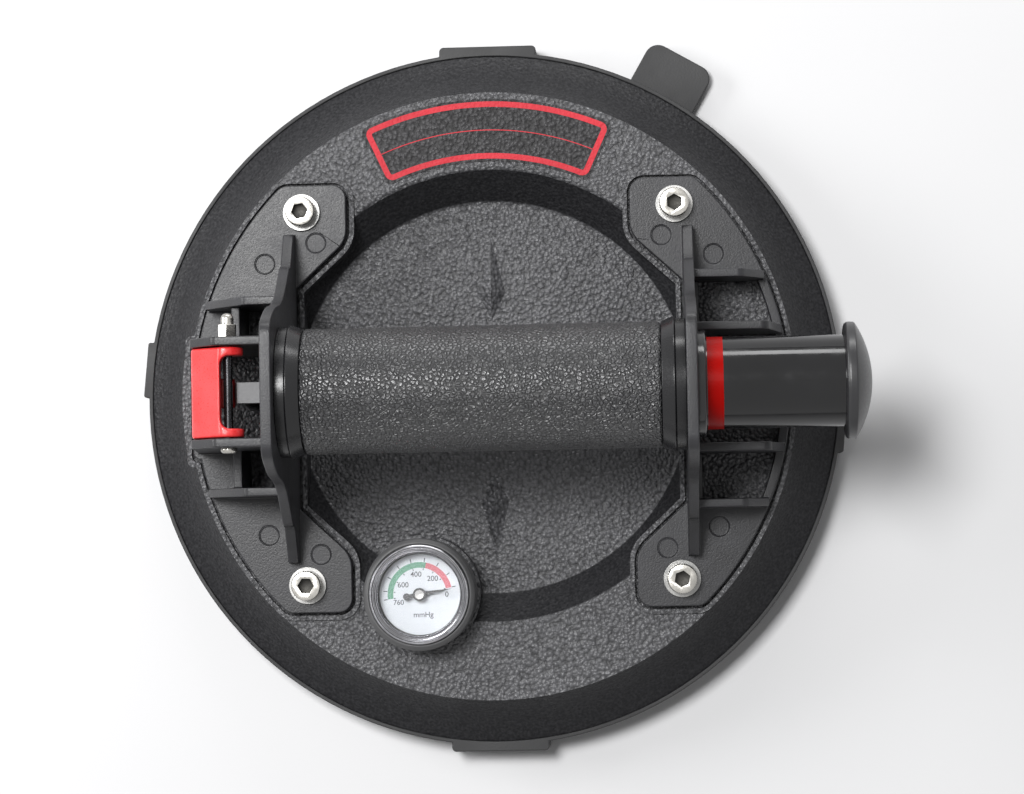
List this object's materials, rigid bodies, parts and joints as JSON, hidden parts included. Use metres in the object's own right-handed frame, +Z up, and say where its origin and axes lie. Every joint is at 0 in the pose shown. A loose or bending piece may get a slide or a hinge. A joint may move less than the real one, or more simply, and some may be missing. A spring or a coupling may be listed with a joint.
{
  "type": "vacuum suction cup lifter",
  "caption": "Vacuum lifter for glass and stone slabs: a round rubber suction cup with a hand pump in its bar handle, a release lever and a small vacuum gauge.",
  "frame": {"origin": "centre of the cup's sealing face, on the glass", "axes": "+Z up from the glass, +X along the handle towards the pump plunger, +Y towards the label's side, away from the gauge"},
  "size_m": [0.2065, 0.2037, 0.091],
  "materials": {
    "cup_rubber": "satin",
    "base_plastic": "grained",
    "bracket_plastic": "satin",
    "grip_plastic": "leather-grained",
    "collar_plastic": "satin",
    "plunger_black": "glossy",
    "knob_black": "satin",
    "lever_red": "satin",
    "band_red": "satin",
    "label_film": "satin",
    "gland_plastic": "polished",
    "valve_grey": "satin",
    "seal_rubber": "satin",
    "boot_rubber": "satin",
    "screw_nickel": "bright",
    "washer_steel": "turned",
    "zinc_steel": "zinc plated",
    "spring_steel": "drawn",
    "bezel_steel": "polished",
    "cylinder_aluminium": "drawn",
    "brass": "turned",
    "filter_bronze": "sintered",
    "dial_white": "matt",
    "needle_black": "matt",
    "lens_glass": "clear"
  },
  "bodies": {
    "lifter": {"rubber_cup": "cup_rubber", "port_filter": "filter_bronze", "backing_plate": "zinc_steel", "weld_nuts": "zinc_steel", "base_plate": "base_plastic", "label_plate": "label_film", "pump_end_bracket": "bracket_plastic", "valve_end_bracket": "bracket_plastic", "screw_washers": "washer_steel", "bracket_screws": "screw_nickel", "pump_cylinder": "cylinder_aluminium", "grip_sleeve": "grip_plastic", "valve_end_collar": "collar_plastic", "pump_end_collar": "collar_plastic", "cylinder_gland": "gland_plastic", "wiper_ring": "seal_rubber", "return_spring": "spring_steel", "valve_body": "gland_plastic", "stem_spring": "spring_steel", "check_seat": "brass", "check_spring": "spring_steel", "check_retainer": "brass", "air_elbow": "bracket_plastic", "air_hose": "seal_rubber", "base_nipple": "bracket_plastic", "pivot_bolt": "screw_nickel", "acorn_nut": "screw_nickel", "gauge_boot": "boot_rubber", "gauge_case": "bezel_steel", "gauge_bezel": "bezel_steel", "gauge_lens": "lens_glass", "gauge_stem": "brass", "bourdon_tube": "brass", "gauge_movement": "brass", "gauge_dial": "dial_white"},
    "plunger": {"plunger_tube": "plunger_black", "indicator_ring": "band_red", "plunger_knob": "knob_black", "piston": "gland_plastic", "piston_seal": "seal_rubber"},
    "lever": {"release_lever": "lever_red"},
    "release_valve": {"valve_stem": "valve_grey", "stem_seal": "seal_rubber"},
    "check_valve": {"check_disc": "seal_rubber"},
    "needle": {"gauge_needle": "needle_black", "gauge_pinion": "brass"},
    "sector": {"gauge_sector": "brass"}
  },
  "joints": [
    {"name": "plunger_slide", "type": "slide", "parent": "lifter", "child": "plunger", "axis": [-1, 0, 0], "range_m": [0, 0.034], "stiffness_N_per_m": 900, "springref_m": -0.01, "deforming": ["return_spring"]},
    {"name": "lever_pivot", "type": "hinge", "parent": "lifter", "child": "lever", "pos_m": [-0.0684, 0, 0.075], "axis": [0, -1, 0], "range_deg": [0, 14], "stiffness_Nm_per_rad": 0.045, "springref_deg": -5.73},
    {"name": "stem_slide", "type": "slide", "parent": "lifter", "child": "release_valve", "axis": [1, 0, 0], "range_m": [0, 0.00172], "deforming": ["stem_spring"]},
    {"name": "check_lift", "type": "slide", "parent": "lifter", "child": "check_valve", "axis": [1, 0, 0], "range_m": [0, 0.0012], "stiffness_N_per_m": 270, "springref_m": -0.0003, "deforming": ["check_spring"]},
    {"name": "sector_swing", "type": "hinge", "parent": "lifter", "child": "sector", "pos_m": [-0.0208, -0.0488, 0.029], "axis": [0, 0, -1], "range_deg": [0, 35.7], "stiffness_Nm_per_rad": 0.0002, "springref_deg": -2.86},
    {"name": "needle_turn", "type": "hinge", "parent": "lifter", "child": "needle", "pos_m": [-0.0208, -0.056, 0.034], "axis": [0, 0, 1], "range_deg": [0, 178.5]}
  ],
  "couplings": [
    {"joint": "stem_slide", "follows": "lever_pivot", "m_per_rad": 0.007},
    {"joint": "needle_turn", "follows": "sector_swing", "ratio": 5}
  ]
}
